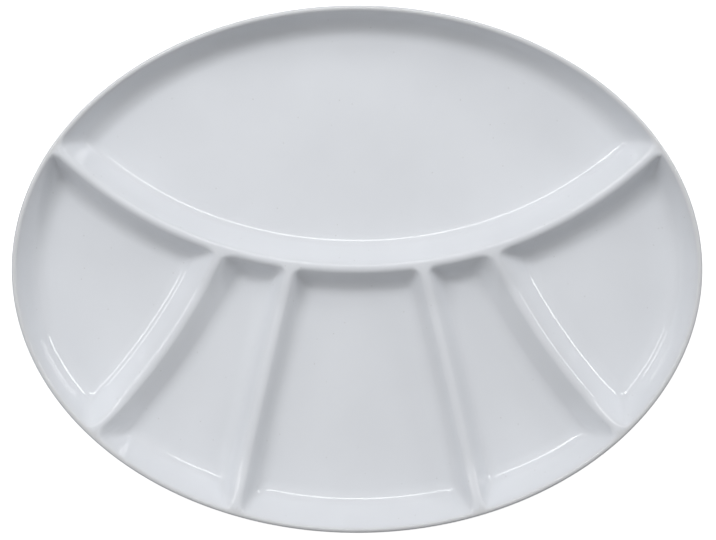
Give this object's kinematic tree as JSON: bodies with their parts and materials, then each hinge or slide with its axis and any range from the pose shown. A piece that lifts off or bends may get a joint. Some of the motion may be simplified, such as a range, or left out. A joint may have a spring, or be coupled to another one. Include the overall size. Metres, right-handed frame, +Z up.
{
  "type": "fondue plate",
  "caption": "Oval divided fondue plate in white glazed stoneware: a large lens-shaped compartment behind a curved ridge, smaller sauce compartments fanned out below it, on a bare foot ring.",
  "frame": {"origin": "on the table, under the middle of the plate", "axes": "+X along the plate's length, to the right of the diner who sits at -Y; +Y across, towards the large compartment; +Z up"},
  "size_m": [0.275, 0.21, 0.022],
  "materials": {
    "biscuit": "bare fired clay, matt",
    "face_glaze": "glossy white glaze",
    "back_glaze": "glossy white glaze, a little duller than the face"
  },
  "bodies": {
    "root": {"stoneware_body": "biscuit", "outer_glaze": "face_glaze", "underside_glaze": "back_glaze"}
  },
  "joints": []
}
